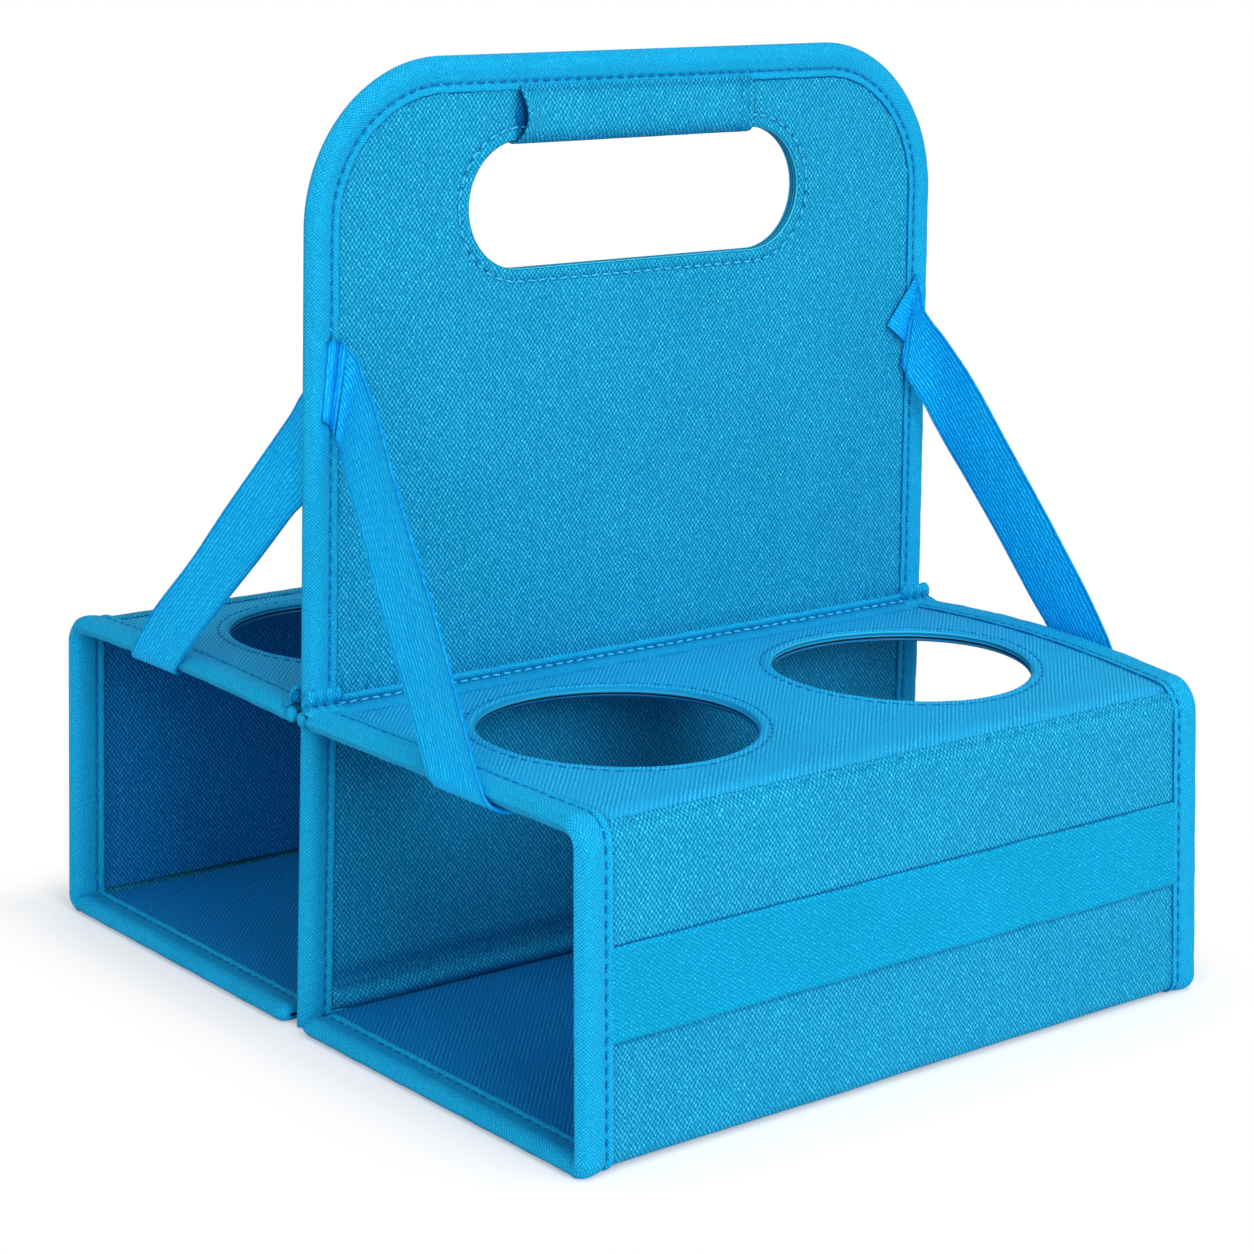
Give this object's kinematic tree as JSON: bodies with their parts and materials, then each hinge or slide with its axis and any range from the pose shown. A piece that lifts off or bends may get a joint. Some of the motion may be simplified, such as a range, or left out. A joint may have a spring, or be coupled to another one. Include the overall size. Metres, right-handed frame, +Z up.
{
  "type": "collapsible drink carrier",
  "caption": "Cloth-covered drink carrier with open cup boxes that fold up flat against an upright handle panel and are braced by twisted elastic straps.",
  "frame": {"origin": "on the floor, at the middle of the carrier's base", "axes": "+Z up; +X across the carrier, towards the right box's side panel; -Y to the front, where the boxes are open"},
  "size_m": [0.2528, 0.2432, 0.2714],
  "materials": {
    "oxford_cloth": "coarse matte oxford weave, mid cyan-blue",
    "ribbed_cloth": "matte cloth with fine ribs from front to rear",
    "binding_tape": "fine twill tape, brighter blue, stitched",
    "webbing": "basket-weave webbing with raised edges",
    "elastic": "knitted elastic with ribs along its length",
    "core_board": "black board edge, slightly porous"
  },
  "bodies": {
    "handle": {"handle_board": "core_board", "handle_right_cover": "oxford_cloth", "handle_left_cover": "oxford_cloth", "handle_tape": "binding_tape", "handle_base_tape": "binding_tape", "grip_wrap": "oxford_cloth", "right_top_hinge": "oxford_cloth", "right_base_hinge": "oxford_cloth", "right_front_strap": "elastic", "right_rear_strap": "elastic", "left_top_hinge": "oxford_cloth", "left_base_hinge": "oxford_cloth", "left_front_strap": "elastic", "left_rear_strap": "elastic"},
    "right_top": {"right_top_board": "core_board", "right_top_cover": "ribbed_cloth", "right_top_lining": "oxford_cloth", "right_top_front_tape": "binding_tape", "right_top_rear_tape": "binding_tape", "right_upper_fold": "ribbed_cloth"},
    "right_side": {"right_side_board": "core_board", "right_side_cover": "oxford_cloth", "right_side_lining": "oxford_cloth", "right_side_band": "webbing", "right_side_front_tape": "binding_tape", "right_side_rear_tape": "binding_tape", "right_lower_fold": "oxford_cloth"},
    "right_base": {"right_base_board": "core_board", "right_base_cover": "oxford_cloth", "right_base_lining": "oxford_cloth", "right_base_front_tape": "binding_tape", "right_base_rear_tape": "binding_tape"},
    "left_top": {"left_top_board": "core_board", "left_top_cover": "ribbed_cloth", "left_top_lining": "oxford_cloth", "left_top_front_tape": "binding_tape", "left_top_rear_tape": "binding_tape", "left_upper_fold": "ribbed_cloth"},
    "left_side": {"left_side_board": "core_board", "left_side_cover": "oxford_cloth", "left_side_lining": "oxford_cloth", "left_side_band": "webbing", "left_side_front_tape": "binding_tape", "left_side_rear_tape": "binding_tape", "left_lower_fold": "oxford_cloth"},
    "left_base": {"left_base_board": "core_board", "left_base_cover": "oxford_cloth", "left_base_lining": "oxford_cloth", "left_base_front_tape": "binding_tape", "left_base_rear_tape": "binding_tape"}
  },
  "joints": [
    {"name": "right_fold", "type": "hinge", "parent": "handle", "child": "right_top", "pos_m": [0.0036, 0, 0.094], "axis": [0, -1, 0], "range_deg": [0, 84], "deforming": ["right_top_hinge", "right_upper_fold", "right_front_strap", "right_rear_strap"]},
    {"name": "right_side_hinge", "type": "hinge", "parent": "right_top", "child": "right_side", "pos_m": [0.1212, 0, 0.0892], "axis": [0, -1, 0], "range_deg": [-84, 0], "deforming": ["right_lower_fold"]},
    {"name": "right_base_fold", "type": "hinge", "parent": "handle", "child": "right_base", "pos_m": [0.0036, 0, 0.0048], "axis": [0, -1, 0], "range_deg": [0, 84], "deforming": ["right_base_hinge"]},
    {"name": "left_fold", "type": "hinge", "parent": "handle", "child": "left_top", "pos_m": [-0.0036, 0, 0.094], "axis": [0, 1, 0], "range_deg": [0, 84], "deforming": ["left_top_hinge", "left_upper_fold", "left_front_strap", "left_rear_strap"]},
    {"name": "left_side_hinge", "type": "hinge", "parent": "left_top", "child": "left_side", "pos_m": [-0.1212, 0, 0.0892], "axis": [0, 1, 0], "range_deg": [-84, 0], "deforming": ["left_lower_fold"]},
    {"name": "left_base_fold", "type": "hinge", "parent": "handle", "child": "left_base", "pos_m": [-0.0036, 0, 0.0048], "axis": [0, 1, 0], "range_deg": [0, 84], "deforming": ["left_base_hinge"]}
  ],
  "couplings": [
    {"joint": "right_side_hinge", "follows": "right_fold", "ratio": -1},
    {"joint": "right_base_fold", "follows": "right_fold", "ratio": 1},
    {"joint": "left_side_hinge", "follows": "left_fold", "ratio": -1},
    {"joint": "left_base_fold", "follows": "left_fold", "ratio": 1}
  ]
}
